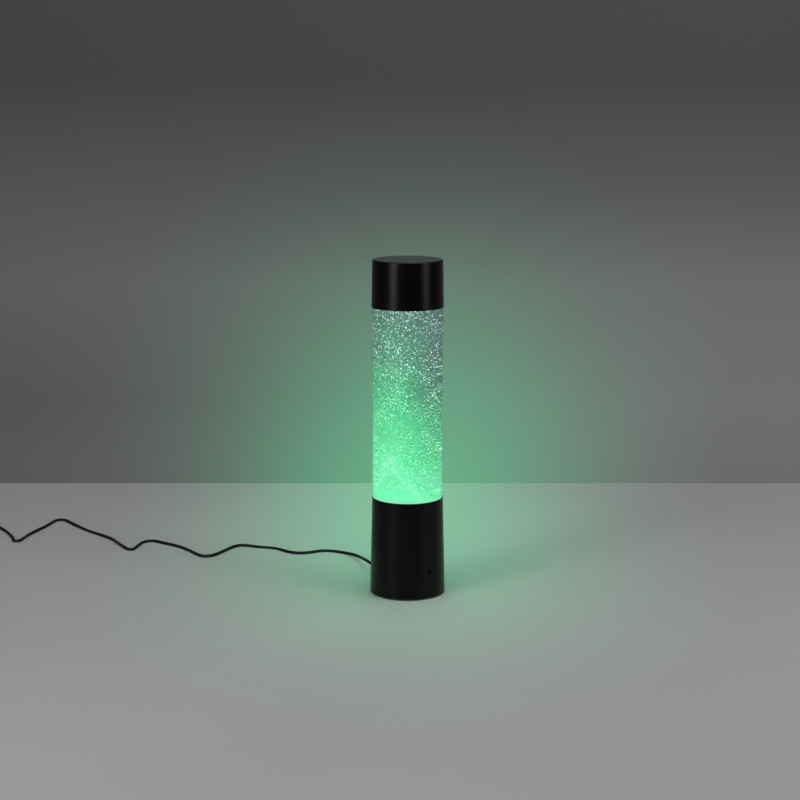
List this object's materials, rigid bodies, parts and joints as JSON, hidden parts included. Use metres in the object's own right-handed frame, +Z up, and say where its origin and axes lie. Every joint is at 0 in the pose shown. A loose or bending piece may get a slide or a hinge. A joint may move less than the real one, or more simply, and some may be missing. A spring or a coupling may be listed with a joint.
{
  "type": "glitter lamp",
  "caption": "Motor-driven glitter lamp: black steel base and cap, clear cylinder of glitter fluid lit green from below, push button on the base, flat black USB lead.",
  "frame": {"origin": "on the table under the middle of the base, where the lamp stands on its four feet", "axes": "+Z up along the bottle; -Y towards the front; the push button is 36 degrees to the right of the front and the lead leaves at the back"},
  "size_m": [0.6395, 0.3695, 0.38],
  "materials": {
    "black_paint": "satin powder coat",
    "black_plastic": "moulded, matt",
    "black_button": "semi-gloss",
    "white_plastic": "moulded, matt",
    "frosted_plastic": "frosted, translucent",
    "clear_acrylic": "polished clear acrylic",
    "glitter_fluid": "clear fluid with silver glitter, lit green from below",
    "clear_silicone": "soft, translucent",
    "black_rubber": "matt",
    "black_cord": "flat two-core PVC",
    "red_wire": "PVC insulation",
    "board_green": "solder mask",
    "led_light": "lit LED",
    "zinc_steel": "zinc plated",
    "nickel_steel": "nickel plated",
    "copper_steel": "wound copper on laminations",
    "ferrite": "sintered, matt"
  },
  "bodies": {
    "base": {"base_shell": "black_paint", "bottom_plate": "black_plastic", "rubber_feet": "black_rubber", "bottom_screws": "zinc_steel", "inner_frame": "black_plastic", "seat_gasket": "clear_silicone", "diffuser_ring": "frosted_plastic", "led_board": "board_green", "led_board_screws": "zinc_steel", "led_emitters": "led_light", "motor_bracket": "zinc_steel", "bracket_screws": "zinc_steel", "motor_can": "zinc_steel", "motor_field_magnet": "ferrite", "motor_end_cap": "black_plastic", "motor_screws": "zinc_steel", "switch_body": "black_plastic", "switch_holder": "black_plastic", "control_board": "board_green", "board_screws": "zinc_steel", "board_parts": "black_plastic", "wire_sockets": "white_plastic", "led_wires": "red_wire", "motor_wires": "red_wire", "switch_wires": "red_wire", "lead_in": "black_cord", "cord_clamp": "black_plastic", "cord_clamp_screws": "zinc_steel", "strain_relief": "black_rubber", "cord": "black_cord", "cord_coil": "black_cord", "cord_tail": "black_cord", "cord_tie": "black_rubber", "usb_overmould": "black_rubber", "usb_shell": "nickel_steel", "usb_contacts": "white_plastic"},
    "bottle": {"bottle_floor": "clear_acrylic", "bottle_tube": "clear_acrylic", "pivot_pin": "zinc_steel", "pin_cap": "clear_acrylic", "glitter_fluid": "glitter_fluid", "bottle_lid": "black_plastic", "lid_seal": "clear_silicone", "filler_plug": "clear_silicone"},
    "cap": {"cap_shell": "black_paint", "cap_liner": "black_plastic"},
    "rotor": {"motor_shaft": "zinc_steel", "motor_armature": "copper_steel", "magnet_holder": "black_plastic", "drive_magnets": "ferrite"},
    "impeller": {"impeller": "clear_acrylic", "impeller_magnets": "ferrite"},
    "button": {"power_button": "black_button"}
  },
  "joints": [
    {"name": "bottle_lift", "type": "slide", "parent": "base", "child": "bottle", "axis": [0, 0, 1], "range_m": [0, 0.05]},
    {"name": "cap_lift", "type": "slide", "parent": "bottle", "child": "cap", "axis": [0, 0, 1], "range_m": [0, 0.06]},
    {"name": "motor_spin", "type": "hinge", "parent": "base", "child": "rotor", "pos_m": [0, 0, 0.08], "axis": [0, 0, 1], "continuous": true},
    {"name": "impeller_spin", "type": "hinge", "parent": "bottle", "child": "impeller", "pos_m": [0, 0, 0.1], "axis": [0, 0, 1], "continuous": true},
    {"name": "button_press", "type": "slide", "parent": "base", "child": "button", "axis": [-0.5878, 0.809, 0], "range_m": [0, 0.0015], "stiffness_N_per_m": 300}
  ],
  "couplings": [
    {"joint": "impeller_spin", "follows": "motor_spin", "ratio": 1}
  ]
}
